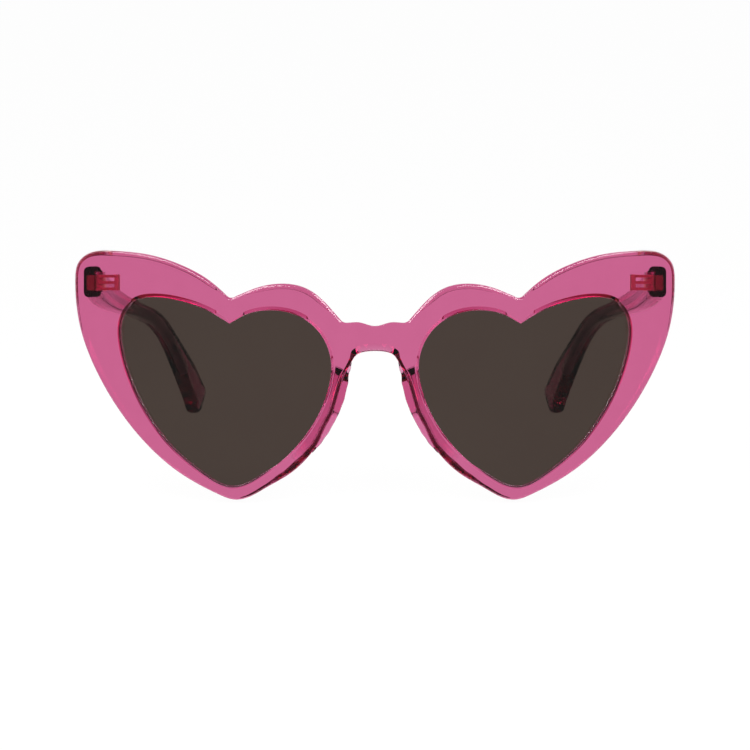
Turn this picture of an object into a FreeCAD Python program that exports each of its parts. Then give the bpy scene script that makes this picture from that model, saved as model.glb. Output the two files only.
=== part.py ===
import FreeCAD, Part
import math
import os
from FreeCAD import Vector

os.makedirs("parts", exist_ok=True)

# Overall sizes, in millimetres.
FRONT_WIDTH = 147.0
FRONT_HEIGHT = 60.7
FRONT_THICKNESS = 5.0
FRONT_RADIUS = 300.0
TEMPLE_REACH = 116.0

# Lenses and the groove that holds them.
LENS_THICKNESS = 1.8
GROOVE_DEPTH = 1.0
GROOVE_SETBACK = 1.6
GROOVE_SLACK = 0.05

# Edges of the front: walls that lean in towards the back along the heart's lobes, down to a land
# at the front; bevels on the back beside the nose and under the bridge; and a bevel round the lenses.
TOP_BEVEL = 1.1
SIDE_BEVEL = 0.75
LOBE_BEVEL = 1.25
EDGE_LAND = 1.0
NOSE_BEVEL = 0.9
NOSE_BEVEL_DEPTH = 1.0
ARCH_BEVEL = 1.75
ARCH_BEVEL_DEPTH = 1.0
RIM_BEVEL = 0.45
RIM_BEVEL_DEPTH = 0.3
RUN_OUT_WIDTH = -0.2
WEDGE_LEAD = 0.5
WEDGE_MARGIN = 0.2
ARCH_RUN_ON = 1.0
RIM_RUN_ON = 0.7

# How many stations a bevel follows along each curve.
LOBE_STATIONS = 31
WING_STATIONS = 101
NOSE_STATIONS = 81
RIM_STATIONS = 61

# How far blanks and cutting tools reach ahead of, behind, above and below the part.
BLANK_FRONT = -5.0
BLANK_BACK = 40.0
TOOL_REACH = 100.0

# Temples.
BUTT_GAP = 0.3
BUTT_THICKNESS = 4.4
TIP_THICKNESS = 3.8
TEMPLE_ROUNDING = 0.8
WIRE_WIDTH = 1.2
WIRE_HEIGHT = 1.6
WIRE_TIP_MARGIN = 14.7
WIRE_START_GAP = 0.3

# Five-barrel hinges.
HINGE_INSET = 6.4
HINGE_HEIGHT = 22.7
BARREL_RADIUS = 1.2
BARREL_STANDOFF = 1.25
BARREL_PITCH = 0.78
BARREL_GAP = 0.1
PIN_RADIUS = 0.55
PIN_SLACK = 0.05
NOTCH_SLACK = 0.3
FACE_INSET = 0.2
FRONT_LEAF_LENGTH = 5.2
SPINE_WIDTH = 1.1
SPINE_DEPTH = 1.5
ARM_DEPTH = 0.8
LEAF_RISE = 0.4
LEAF_HEIGHT = 3.7
LEAF_LENGTH = 8.8
LEAF_THICKNESS = 0.95
LEAF_PROUD = 0.35
LEAF_CLEARANCE = 0.5
ANCHOR_LENGTH = 6.0
ANCHOR_WIDTH = 1.9
ANCHOR_SLACK = 0.25
HEAD_HEIGHT = 0.6
HEAD_SLACK = 0.05
SLOT_WIDTH = 0.28
SLOT_DEPTH = 0.25
SEAT_SLACK = 0.03

# Nose pads: where they start and end, and by how much they have narrowed at shares of that depth.
PAD_FRONT_DEPTH = 1.2
PAD_BACK_REACH = 3.0
PAD_SECTIONS = ((0, 0), (0.45, 0.2), (0.8, 0.55), (1, 1))

WIDTH_SCALE = FRONT_WIDTH / 147.0
HEIGHT_SCALE = FRONT_HEIGHT / 60.7
REACH_SCALE = TEMPLE_REACH / 116.0
BACK_RADIUS = FRONT_RADIUS - FRONT_THICKNESS

# Half of the front's outline, seen from the front, from the middle of the bridge
# over the heart's two lobes and down to its point, then up the nose side.
BRIDGE_TOP = [(0, 11.9), (3.9, 12.8), (7.0, 12.7)]
BRIDGE_CORNER = [(7.0, 12.7), (7.85, 12.95), (8.5, 13.6)]
INNER_LOBE = [(8.5, 13.6), (11.7, 17.2), (16.8, 21.1), (23.1, 22.2), (29.1, 21.1), (33.8, 19.2)]
CLEFT = [(33.8, 19.2), (35.0, 18.8), (36.1, 19.4)]
OUTER_LOBE = [
    (36.1, 19.4), (40.4, 23.1), (47.6, 27.0), (55.5, 29.45), (64.3, 30.4), (70.2, 29.75), (72.7, 27.6),
    (73.5, 23.3), (72.2, 11.5), (67.6, -0.2), (60.0, -12.0), (47.9, -23.6), (38.0, -29.05), (33.7, -30.3),
]
NOSE_SIDE = [
    (33.7, -30.3), (26.5, -27.4), (20.3, -23.7), (15.9, -19.5), (14.2, -17.2), (12.0, -12.6), (10.6, -9.9),
    (9.4, -6.5), (8.6, -3.6), (7.6, -0.6), (6.3, 2.0), (5.5, 3.5), (4.4, 4.9), (2.5, 5.6), (0, 5.8),
]

# Lens opening, from the cleft round the nose side to the point, and back up the outer side.
OPENING_NOSE = [
    (35.4, 12.5), (31.3, 14.7), (25.5, 15.7), (19.6, 14.7), (13.8, 10.6), (10.7, 3.2),
    (11.2, -2.7), (14.2, -10.4), (19.9, -18.2), (27.3, -24.4), (34.6, -27.35),
]
OPENING_OUTER = [
    (34.6, -27.35), (41.3, -24.5), (50.8, -16.3), (58.4, -4.6), (62.2, 7.1), (61.7, 14.9),
    (58.8, 18.1), (54.9, 18.95), (47.0, 17.9), (40.1, 15.3), (35.4, 12.5),
]
CLEFT_NOSE_WAY = (-0.88, 0.475)
CLEFT_OUTER_WAY = (-0.85, -0.53)

# Temple seen from the side: distance behind the butt, height above the hinge.
TEMPLE_TOP = [(0, 4.1), (32, 0.2), (68, -3.9), (81, -6.4), (93.4, -12.6), (108, -20.9), (114.6, -25.4)]
TEMPLE_HEEL = [(114.6, -25.4), (115.7, -27.3), (114.9, -29.3)]
TEMPLE_TOE = [(112.4, -32.1), (110.0, -33.3), (107.6, -31.9)]
TEMPLE_BOTTOM = [
    (107.6, -31.9), (103.7, -27.6), (98.6, -22.6), (93.5, -18.2), (89.4, -15.0), (85.2, -12.4), (80, -10.1),
    (69, -7.9), (49, -6.6), (23, -5.5), (0, -3.5),
]

# Temple seen from above: distance behind the butt, how far its inner face has turned in.
TEMPLE_PLAN = [(0, 0), (27, 1.0), (47, 2.6), (62, 5.0), (77, 8.8), (92, 13.1), (108, 17.6), (118, 20.4)]

# Stock ahead of the butt, which the front's back face trims: its plan, and its profile's two corners.
STOCK_PLAN = (-8, -0.3)
STOCK_TOP = (-6, 4.8)
STOCK_BOTTOM = (-6, -3.0)

# Distances behind the butt at which the core wire follows the temple's middle line.
WIRE_STATIONS = (0, 15, 32, 50, 68, 80, 92, 107)

# Nose pad outlines, at its front and at its back, down the nose side and up the lens side.
PAD_FRONT_NOSE = [(6.6, 1.6), (6.5, -1.9), (7.4, -5.4), (9.4, -10.4), (12.4, -15.2), (15.4, -17.9)]
PAD_FRONT_LENS = [(16.0, -17.2), (13.6, -12.9), (11.8, -9.0), (10.6, -4.2), (10.0, -0.6), (9.9, 1.4)]
PAD_BACK_NOSE = [(9.0, 0.0), (9.1, -2.9), (9.8, -6.0), (11.1, -9.6), (13.2, -13.2), (14.7, -15.2)]
PAD_BACK_LENS = [(15.3, -14.7), (13.6, -11.9), (12.1, -8.8), (11.0, -5.4), (10.4, -2.6), (10.3, -0.2)]


def depth_at(x, radius):
    """Distance behind the front's middle of a cylinder that bends round the face."""
    return FRONT_RADIUS - math.sqrt(radius * radius - x * x)


def spot(point):
    return Vector(point[0] * WIDTH_SCALE, 0, point[1] * HEIGHT_SCALE)


def smooth(points, start, end):
    """Smooth curve through points, with its direction given at both ends."""
    marks = [0.0]
    for first, last in zip(points, points[1:]):
        marks.append(marks[-1] + (last - first).Length)
    start = Vector(start).normalize()
    end = Vector(end).normalize()
    curve = Part.BSplineCurve()
    curve.interpolate(Points=points, Parameters=marks, InitialTangent=start, FinalTangent=end, Scale=False)
    return curve.toShape()


def front_curve(points, start, end):
    return smooth([spot(p) for p in points], spot(start), spot(end))


def front_arc(points):
    return Part.Arc(*[spot(p) for p in points]).toShape()


def through(face, low, high):
    """Solid of a face in the front view, swept from low to high along the depth."""
    return face.translated(Vector(0, low, 0)).extrude(Vector(0, high - low, 0))


def cylinder(radius):
    return Part.makeCylinder(radius, 2 * TOOL_REACH, Vector(0, FRONT_RADIUS, -TOOL_REACH), Vector(0, 0, 1))


def bent_plate(face, outer, inner):
    """Plate with a given outline, bent between two cylinders."""
    blank = through(face, BLANK_FRONT, BLANK_BACK)
    return largest(blank.common(cylinder(outer)).cut(cylinder(inner)))


def stations(edge, count, width, first=0.0, last=1.0):
    """Points between two shares of an edge, each with its way out of the material and a bevel width."""
    found = []
    for step in range(round(first * (count - 1)), round(last * (count - 1)) + 1):
        share = step / (count - 1.0)
        place = edge.getParameterByLength(share * edge.Length)
        along = edge.tangentAt(place)
        away = Vector(-along.z, 0, along.x)
        found.append((edge.valueAt(place), away, width(share)))
    return found


def lengthened(found, distance):
    """Stations with one more straight on beyond the last."""
    place, away, width = found[-1]
    along = Vector(away.z, 0, -away.x)
    if along.dot(place - found[-2][0]) < 0:
        along = along * -1
    return found + [(place + along * distance, away, width)]


def rail(points, marks):
    curve = Part.BSplineCurve()
    curve.interpolate(Points=points, Parameters=marks)
    return curve.toShape()


def bevel_tool(found, slope, radius, turn):
    """Wedge that cuts a bevel along stations, in from the bent face of a given radius.

    The turn is 1 for the front face and -1 for the back one.
    """
    rows = [[], [], []]
    marks = []
    for place, away, width in found:
        inner = place - away * width
        low = Vector(inner.x, depth_at(inner.x, radius), inner.z)
        run = away + Vector(0, turn * slope, 0)
        start = low - run * (WEDGE_LEAD / run.Length)
        end = low + run * (max(width, 0) + WEDGE_MARGIN)
        outside = Vector(end.x, start.y - turn * WEDGE_MARGIN, end.z)
        for row, point in zip(rows, (start, end, outside)):
            row.append(point)
        step = (place - found[len(marks) - 1][0]).Length if marks else 0.0
        marks.append(marks[-1] + step if marks else 0.0)
    rails = [rail(row, marks) for row in rows]
    faces = [Part.makeRuledSurface(rails[i], rails[(i + 1) % 3], 1) for i in range(3)]
    for end in (0, -1):
        corners = [row[end] for row in rows]
        faces.append(Part.Face(Part.makePolygon(corners + corners[:1])))
    shell = Part.Shell(faces)
    shell.sewShape()
    solid = Part.Solid(shell)
    if solid.Volume < 0:
        solid.reverse()
    return solid


def back_bevel(found, width, depth):
    return bevel_tool(found, depth / width, BACK_RADIUS, -1)


def blend(*steps):
    """Width that changes evenly between named shares of the way."""
    def width(share):
        for (first, low), (last, high) in zip(steps, steps[1:]):
            if share <= last:
                part = (share - first) / (last - first)
                part = part * part * (3 - 2 * part)
                return low + (high - low) * part
        return steps[-1][1]
    return width


def opening_edges(grow):
    """Heart of the lens opening, grown outward by a distance."""
    nose = front_curve(OPENING_NOSE, CLEFT_NOSE_WAY, (1, 0))
    outer = front_curve(OPENING_OUTER, (1, 0), CLEFT_OUTER_WAY)
    if grow == 0:
        return [nose, outer]
    nose_way = nose.tangentAt(nose.FirstParameter)
    outer_way = outer.tangentAt(outer.LastParameter)
    nose_off = Vector(nose_way.z, 0, -nose_way.x)
    outer_off = Vector(outer_way.z, 0, -outer_way.x)
    tip = spot(OPENING_NOSE[0]) + (nose_off + outer_off) * (grow / (1 + nose_off.dot(outer_off)))
    grown = []
    for edge, points in ((nose, OPENING_NOSE), (outer, OPENING_OUTER)):
        moved = []
        for point in points:
            place = edge.Curve.parameter(spot(point))
            along = edge.tangentAt(place)
            moved.append(spot(point) + Vector(along.z, 0, -along.x) * grow)
        grown.append(moved)
    grown[0][0] = tip
    grown[1][-1] = tip
    return [smooth(grown[0], nose_way, Vector(1, 0, 0)), smooth(grown[1], Vector(1, 0, 0), outer_way)]


def opening_face(grow):
    return Part.Face(Part.Wire(opening_edges(grow)))


def largest(shape):
    return max(shape.Solids, key=lambda solid: solid.Volume)


def mirrored(shape):
    return shape.mirror(Vector(0, 0, 0), Vector(1, 0, 0))


def box(low, high):
    size = high - low
    return Part.makeBox(size.x, size.y, size.z, low)


# Front, one half.
bridge_top = front_curve(BRIDGE_TOP, (1, 0), (1, 0))
bridge_corner = front_arc(BRIDGE_CORNER)
inner_lobe = front_curve(INNER_LOBE, (0.67, 0.74), (0.93, -0.37))
cleft = front_arc(CLEFT)
outer_lobe = front_curve(OUTER_LOBE, (0.72, 0.69), (-1, 0))
nose_side = front_curve(NOSE_SIDE, (-1, 0), (-1, 0))
middle = Part.makeLine(spot(NOSE_SIDE[-1]), spot(BRIDGE_TOP[0]))
outline = [bridge_top, bridge_corner, inner_lobe, cleft, outer_lobe, nose_side]
half_face = Part.Face(Part.Wire(outline + [middle]))
half_front = bent_plate(half_face, FRONT_RADIUS, BACK_RADIUS)

# Leaning walls along the two lobes, then the bevels on the nose side; each runs out at its ends.
wall_depth = FRONT_THICKNESS - EDGE_LAND
gone = RUN_OUT_WIDTH
lobe_widths = blend((0, gone), (0.3, LOBE_BEVEL), (0.75, LOBE_BEVEL), (1, gone))
lobe_run = stations(inner_lobe, LOBE_STATIONS, lobe_widths)
half_front = half_front.cut(back_bevel(lobe_run, LOBE_BEVEL, wall_depth))
wing_widths = blend(
    (0, gone), (0.06, TOP_BEVEL), (0.27, TOP_BEVEL), (0.34, SIDE_BEVEL), (0.45, SIDE_BEVEL), (0.65, gone),
    (1, gone),
)
wing_run = stations(outer_lobe, WING_STATIONS, wing_widths, last=0.66)
half_front = half_front.cut(back_bevel(wing_run, TOP_BEVEL, wall_depth))
nose_widths = blend((0, gone), (0.1, gone), (0.3, NOSE_BEVEL), (0.85, NOSE_BEVEL), (0.93, gone), (1, gone))
nose_run = stations(nose_side, NOSE_STATIONS, nose_widths, first=0.075, last=0.9625)
half_front = half_front.cut(back_bevel(nose_run, NOSE_BEVEL, NOSE_BEVEL_DEPTH))
arch_widths = blend((0, gone), (0.84, gone), (0.94, ARCH_BEVEL), (1, ARCH_BEVEL))
arch_run = lengthened(stations(nose_side, NOSE_STATIONS, arch_widths, first=0.825), ARCH_RUN_ON)
half_front = half_front.cut(back_bevel(arch_run, ARCH_BEVEL, ARCH_BEVEL_DEPTH))

# Lens opening with its own bevel, then the groove and the lens.
half_front = half_front.cut(through(opening_face(0), BLANK_FRONT, BLANK_BACK))
rim_width = blend((0, RIM_BEVEL), (1, RIM_BEVEL))
nose_rim, outer_rim = opening_edges(0)
rim_slope = RIM_BEVEL_DEPTH / RIM_BEVEL
nose_rim_run = stations(nose_rim, RIM_STATIONS, rim_width)[::-1]
for rim_run in (nose_rim_run, stations(outer_rim, RIM_STATIONS, rim_width)):
    half_front = half_front.cut(bevel_tool(lengthened(rim_run, RIM_RUN_ON), rim_slope, FRONT_RADIUS, 1))
lens_front = FRONT_RADIUS - GROOVE_SETBACK
lens_back = lens_front - LENS_THICKNESS
groove = bent_plate(opening_face(GROOVE_DEPTH), lens_front + GROOVE_SLACK, lens_back - GROOVE_SLACK)
half_front = half_front.cut(groove)
lens = bent_plate(opening_face(GROOVE_DEPTH - GROOVE_SLACK), lens_front, lens_back)

# Hinge, about its own pin at the origin.
pin_x = FRONT_WIDTH / 2 - HINGE_INSET
butt_y = depth_at(pin_x, BACK_RADIUS)
pin_z = HINGE_HEIGHT * HEIGHT_SCALE
pin = Vector(pin_x, butt_y + BARREL_STANDOFF, pin_z)
barrel_half = 2.5 * BARREL_PITCH
head_low = barrel_half + HEAD_SLACK
head_high = head_low + HEAD_HEIGHT
leaf_start = BARREL_RADIUS + LEAF_CLEARANCE


def knuckle(number):
    low = -barrel_half + number * BARREL_PITCH + BARREL_GAP / 2
    return low, low + BARREL_PITCH - BARREL_GAP


def barrel(radius, low, high):
    return Part.makeCylinder(radius, high - low, Vector(0, 0, low), Vector(0, 0, 1))


def block(low, high, grow):
    margin = Vector(grow, grow, grow)
    return box(low - margin, high + margin)


def front_seat(grow):
    """Spine and arms of the front's leaf, sunk in the back of the front."""
    top = LEAF_RISE - BARREL_STANDOFF
    spine_end = SPINE_WIDTH - FRONT_LEAF_LENGTH
    low = Vector(-FRONT_LEAF_LENGTH, top - SPINE_DEPTH, -barrel_half)
    seat = block(low, Vector(spine_end, top, barrel_half), grow)
    for number in (0, 2, 4):
        bottom, upper = knuckle(number)
        arm_low = Vector(spine_end - SPINE_WIDTH / 2, top - ARM_DEPTH, bottom)
        seat = seat.fuse(block(arm_low, Vector(0, top, upper), grow))
    return seat


def temple_seat(grow):
    """Plate and anchor of the temple's leaf, sunk in the temple's inner face."""
    face = -FACE_INSET - LEAF_PROUD
    inside = face + LEAF_THICKNESS
    half = LEAF_HEIGHT / 2
    leaf_end = leaf_start + LEAF_LENGTH
    plate = block(Vector(face, leaf_start, -half), Vector(inside, leaf_end, half), grow)
    beside = BARREL_RADIUS + ANCHOR_SLACK
    anchor_end = Vector(beside + ANCHOR_WIDTH, leaf_start + ANCHOR_LENGTH, half)
    seat = plate.fuse(block(Vector(inside - LEAF_THICKNESS / 2, leaf_start, -half), anchor_end, grow))
    seat = seat.fuse(block(Vector(beside, 0, -half), anchor_end, grow))
    for number in (1, 3):
        bottom, upper = knuckle(number)
        arm_high = Vector(inside, leaf_start + LEAF_THICKNESS / 2, upper)
        seat = seat.fuse(block(Vector(face, 0, bottom), arm_high, grow))
    return seat


def leaf(seat, numbers):
    for number in numbers:
        seat = seat.fuse(barrel(BARREL_RADIUS, *knuckle(number)))
    return seat.cut(barrel(PIN_RADIUS + PIN_SLACK, -TOOL_REACH, TOOL_REACH)).removeSplitter()


def at_front(shape):
    """Turned along the front's back face and moved to the pin."""
    shape.rotate(Vector(0, 0, 0), Vector(0, 0, 1), math.degrees(math.asin(pin_x / BACK_RADIUS)))
    shape.translate(pin)
    return shape


front_leaf = at_front(leaf(front_seat(0), (0, 2, 4)))
temple_leaf = leaf(temple_seat(0), (1, 3)).translated(pin)
screw = barrel(PIN_RADIUS, -barrel_half, barrel_half + HEAD_SLACK + HEAD_HEIGHT / 2)
screw = screw.fuse(barrel(BARREL_RADIUS, head_low, head_high))
slot_low = Vector(-2 * BARREL_RADIUS, -SLOT_WIDTH / 2, head_high - SLOT_DEPTH)
screw = screw.cut(box(slot_low, Vector(2 * BARREL_RADIUS, SLOT_WIDTH / 2, head_high + SLOT_DEPTH)))
screw = screw.removeSplitter().translated(pin)
half_front = largest(half_front.cut(at_front(front_seat(SEAT_SLACK))))

# Temple: its side view and its plan, cut out of each other.


def side(point):
    return Vector(0, butt_y + point[0] * REACH_SCALE, pin_z + point[1])


def side_curve(points, start, end):
    return smooth([side(p) for p in points], Vector(0, *start), Vector(0, *end))


def side_arc(points):
    return Part.Arc(*[side(p) for p in points]).toShape()


def thickness_at(distance):
    share = max(0.0, min(1.0, distance / TEMPLE_PLAN[-1][0]))
    return BUTT_THICKNESS + (TIP_THICKNESS - BUTT_THICKNESS) * share


def prism_across(wire):
    return Part.Face(wire).extrude(Vector(FRONT_WIDTH, 0, 0))


def prism_up(wire):
    return Part.Face(wire).translated(Vector(0, 0, -TOOL_REACH)).extrude(Vector(0, 0, 2 * TOOL_REACH))


def plan_strip(low, high):
    """Strip along the temple between two shares of its thickness, started ahead of the butt."""
    inner, outer = [], []
    for distance, turn_in in [STOCK_PLAN] + TEMPLE_PLAN:
        face = pin_x - FACE_INSET - turn_in
        thick = thickness_at(distance)
        inner.append(Vector(face + low(thick), butt_y + distance * REACH_SCALE, 0))
        outer.append(Vector(face + high(thick), butt_y + distance * REACH_SCALE, 0))
    start = Vector(-0.03, 1, 0)
    end = Vector(-0.28, 1, 0)
    return prism_up(Part.Wire([
        smooth(inner, start, end),
        Part.makeLine(inner[-1], outer[-1]),
        smooth(outer[::-1], end * -1, start * -1),
        Part.makeLine(outer[0], inner[0]),
    ]))


front_top = side(STOCK_TOP)
front_bottom = side(STOCK_BOTTOM)
profile = Part.Wire([
    Part.makeLine(front_bottom, front_top),
    Part.makeLine(front_top, side(TEMPLE_TOP[0])),
    side_curve(TEMPLE_TOP, (1, -0.117), (0.83, -0.56)),
    side_arc(TEMPLE_HEEL),
    Part.makeLine(side(TEMPLE_HEEL[-1]), side(TEMPLE_TOE[0])),
    side_arc(TEMPLE_TOE),
    side_curve(TEMPLE_BOTTOM, (-0.64, 0.77), (-1, 0.08)),
    Part.makeLine(side(TEMPLE_BOTTOM[-1]), front_bottom),
])
temple = prism_across(profile).common(plan_strip(lambda thick: 0, lambda thick: thick))
temple = largest(temple.common(cylinder(BACK_RADIUS - BUTT_GAP)))


def runs_lengthwise(edge):
    """True for the long edges and those round the tip, not for the butt's or the ones across."""
    return min(edge.BoundBox.YLength, edge.BoundBox.ZLength) > TEMPLE_ROUNDING / 2


temple = largest(temple.makeFillet(TEMPLE_ROUNDING, [e for e in temple.Edges if runs_lengthwise(e)]))
notch = barrel(BARREL_RADIUS + NOTCH_SLACK, -barrel_half - NOTCH_SLACK, head_high + NOTCH_SLACK)
temple = largest(temple.cut(notch.translated(pin)).cut(temple_seat(SEAT_SLACK).translated(pin)))

# Core wire along the middle of the temple, from behind the leaf to short of the tip.


def middle_height(distance):
    """Height of the temple's middle line, at a distance behind the butt."""
    heights = []
    for points in (TEMPLE_TOP, TEMPLE_BOTTOM[::-1]):
        for first, last in zip(points, points[1:]):
            if first[0] <= distance <= last[0]:
                part = (distance - first[0]) / float(last[0] - first[0])
                heights.append(first[1] + (last[1] - first[1]) * part)
                break
    return sum(heights) / 2


def wire_shape(grow):
    rows = []
    for shift in (WIRE_HEIGHT / 2 + grow, -WIRE_HEIGHT / 2 - grow):
        rows.append([side((d, middle_height(d) + shift)) for d in WIRE_STATIONS])
    upper, lower = rows
    strip = prism_across(Part.Wire([
        smooth(upper, upper[1] - upper[0], upper[-1] - upper[-2]),
        Part.makeLine(upper[-1], lower[-1]),
        smooth(lower[::-1], lower[-2] - lower[-1], lower[0] - lower[1]),
        Part.makeLine(lower[0], upper[0]),
    ]))
    half = WIRE_WIDTH / 2 + grow
    strip = strip.common(plan_strip(lambda thick: thick / 2 - half, lambda thick: thick / 2 + half))
    start = pin.y + leaf_start + LEAF_LENGTH + WIRE_START_GAP - grow
    end = butt_y + TEMPLE_HEEL[1][0] * REACH_SCALE - WIRE_TIP_MARGIN + grow
    return largest(strip.common(box(Vector(0, start, -TOOL_REACH), Vector(FRONT_WIDTH, end, TOOL_REACH))))


core_wire = wire_shape(0)
temple = largest(temple.cut(wire_shape(SEAT_SLACK)))

# Nose pad, bonded to the side and the back of the nose rim; it narrows to a crest at the back.


def pad_wire(share, lean_in):
    depth = PAD_FRONT_DEPTH + share * (FRONT_THICKNESS + PAD_BACK_REACH - PAD_FRONT_DEPTH)
    rows = []
    for front_row, back_row in ((PAD_FRONT_NOSE, PAD_BACK_NOSE), (PAD_FRONT_LENS, PAD_BACK_LENS)):
        row = []
        for first, last in zip(front_row, back_row):
            row.append(spot(first) + (spot(last) - spot(first)) * lean_in + Vector(0, depth, 0))
        rows.append(row)
    nose_row, lens_row = rows
    nose_edge = smooth(nose_row, nose_row[1] - nose_row[0], nose_row[-1] - nose_row[-2])
    lens_edge = smooth(lens_row, lens_row[1] - lens_row[0], lens_row[-1] - lens_row[-2])
    foot = Part.makeLine(nose_row[-1], lens_row[0])
    head = Part.makeLine(lens_row[-1], nose_row[0])
    return Part.Wire([nose_edge, foot, lens_edge, head])


nose_pad = Part.makeLoft([pad_wire(*section) for section in PAD_SECTIONS], True, False)
nose_pad = largest(nose_pad.cut(half_front))

front_frame = largest(half_front.fuse(mirrored(half_front)).removeSplitter())
shapes = {"front_frame": front_frame}
for name, shape in (
    ("lens", lens),
    ("nose_pad", nose_pad),
    ("temple", temple),
    ("core_wire", core_wire),
    ("front_hinge", front_leaf),
    ("temple_hinge", temple_leaf),
    ("hinge_screw", screw),
):
    shapes[name + "_left"] = shape
    shapes[name + "_right"] = mirrored(shape)

# Standing on the table: the two heart points and the two temple tips touch it.


def edge_points(shape):
    return [p for e in shape.Edges for p in e.discretize(60)]


def lowest(points, lean):
    return min(-p.y * math.sin(lean) + p.z * math.cos(lean) for p in points)


front_points = edge_points(front_frame)
tip_points = edge_points(temple)
low_lean, high_lean = 0.0, 0.5
for step in range(50):
    lean = (low_lean + high_lean) / 2
    if lowest(tip_points, lean) > lowest(front_points, lean):
        low_lean = lean
    else:
        high_lean = lean
for shape in shapes.values():
    shape.rotate(Vector(0, 0, 0), Vector(1, 0, 0), -math.degrees(lean))
whole = Part.makeCompound(list(shapes.values())).optimalBoundingBox(False)
shift = Vector(0, -(whole.YMin + whole.YMax) / 2, -whole.ZMin)
for shape in shapes.values():
    shape.translate(shift)
for name, shape in shapes.items():
    shape.exportStep("parts/" + name + ".step")


def placed(point):
    turned = Vector(
        point.x,
        point.y * math.cos(lean) + point.z * math.sin(lean),
        -point.y * math.sin(lean) + point.z * math.cos(lean),
    )
    return turned + shift


print("lean", math.degrees(lean))
print("size", whole.XLength, whole.YLength, whole.ZLength)
print("hinge pin", placed(pin), "axis", placed(Vector(0, 0, 1)) - placed(Vector(0, 0, 0)))
print("image centre", placed(Vector(0, 0, 0)))
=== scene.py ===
import math

import bmesh
import bpy
import numpy as np
from mathutils import Matrix, Vector
from mathutils.geometry import delaunay_2d_cdt


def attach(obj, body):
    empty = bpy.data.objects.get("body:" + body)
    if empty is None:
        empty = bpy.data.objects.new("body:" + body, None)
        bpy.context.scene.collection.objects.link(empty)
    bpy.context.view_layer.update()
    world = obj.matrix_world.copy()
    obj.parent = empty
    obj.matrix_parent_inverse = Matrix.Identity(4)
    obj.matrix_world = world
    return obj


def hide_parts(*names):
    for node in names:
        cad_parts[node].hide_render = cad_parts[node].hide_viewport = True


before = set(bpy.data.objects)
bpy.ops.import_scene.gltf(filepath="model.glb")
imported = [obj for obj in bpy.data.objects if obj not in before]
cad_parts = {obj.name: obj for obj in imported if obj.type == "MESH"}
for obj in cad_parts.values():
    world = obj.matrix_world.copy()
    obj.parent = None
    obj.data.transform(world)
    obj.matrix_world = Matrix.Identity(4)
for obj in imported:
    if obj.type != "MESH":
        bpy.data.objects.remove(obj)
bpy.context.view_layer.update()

scene = bpy.context.scene
scene.view_settings.view_transform = "Standard"

# Sizes in millimetres, in the front's own frame: x to the side, y behind the front, z up.
# The lean and the origin are how that frame stands on the table.
LEAN = math.radians(9.629298368)
ORIGIN = (0.0, -61.21247634, 31.03352513)
METRES = 0.001
MIRROR = {"left": (1, 1, 1), "right": (-1, 1, 1)}

FRONT_RADIUS = 300.0
FRONT_THICKNESS = 5.0
BACK_RADIUS = FRONT_RADIUS - FRONT_THICKNESS
PIN_X = 67.1
PIN_Z = 22.7
PIN_BEHIND_BUTT = 1.25
BUTT_Y = FRONT_RADIUS - math.sqrt(BACK_RADIUS ** 2 - PIN_X ** 2)
PIN_Y = BUTT_Y + PIN_BEHIND_BUTT
BUTT_GAP = 0.3

# Half of the front's outline, seen from the front, from the middle of the bridge over the heart's two
# lobes and down to its point, then up the nose side.
BRIDGE_TOP = [(0, 11.9), (3.9, 12.8), (7.0, 12.7)]
BRIDGE_CORNER = [(7.0, 12.7), (7.85, 12.95), (8.5, 13.6)]
INNER_LOBE = [(8.5, 13.6), (11.7, 17.2), (16.8, 21.1), (23.1, 22.2), (29.1, 21.1), (33.8, 19.2)]
CLEFT = [(33.8, 19.2), (35.0, 18.8), (36.1, 19.4)]
OUTER_LOBE = [
    (36.1, 19.4), (40.4, 23.1), (47.6, 27.0), (55.5, 29.45), (64.3, 30.4), (70.2, 29.75), (72.7, 27.6),
    (73.5, 23.3), (72.2, 11.5), (67.6, -0.2), (60.0, -12.0), (47.9, -23.6), (38.0, -29.05), (33.7, -30.3),
]
NOSE_SIDE = [
    (33.7, -30.3), (26.5, -27.4), (20.3, -23.7), (15.9, -19.5), (14.2, -17.2), (12.0, -12.6), (10.6, -9.9),
    (9.4, -6.5), (8.6, -3.6), (7.6, -0.6), (6.3, 2.0), (5.5, 3.5), (4.4, 4.9), (2.5, 5.6), (0, 5.8),
]
NOSE_RUN = 5

# Lens opening, from the cleft round the nose side to the point, and back up the outer side.
OPENING_NOSE = [
    (35.4, 12.5), (31.3, 14.7), (25.5, 15.7), (19.6, 14.7), (13.8, 10.6), (10.7, 3.2),
    (11.2, -2.7), (14.2, -10.4), (19.9, -18.2), (27.3, -24.4), (34.6, -27.35),
]
OPENING_OUTER = [
    (34.6, -27.35), (41.3, -24.5), (50.8, -16.3), (58.4, -4.6), (62.2, 7.1), (61.7, 14.9),
    (58.8, 18.1), (54.9, 18.95), (47.0, 17.9), (40.1, 15.3), (35.4, 12.5),
]

# Temple seen from the side: distance behind the butt, height above the hinge. It starts ahead of the
# butt, and is trimmed there.
TEMPLE_TOP = [(0, 4.1), (32, 0.2), (68, -3.9), (81, -6.4), (93.4, -12.6), (108, -20.9), (114.6, -25.4)]
TEMPLE_HEEL = [(114.6, -25.4), (115.7, -27.3), (114.9, -29.3)]
TEMPLE_TOE = [(112.4, -32.1), (110.0, -33.3), (107.6, -31.9)]
TEMPLE_BOTTOM = [
    (107.6, -31.9), (103.7, -27.6), (98.6, -22.6), (93.5, -18.2), (89.4, -15.0), (85.2, -12.4), (80, -10.1),
    (69, -7.9), (49, -6.6), (23, -5.5), (0, -3.5),
]
TEMPLE_AHEAD = [(-5, -3.1), (-5, 4.7)]

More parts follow.
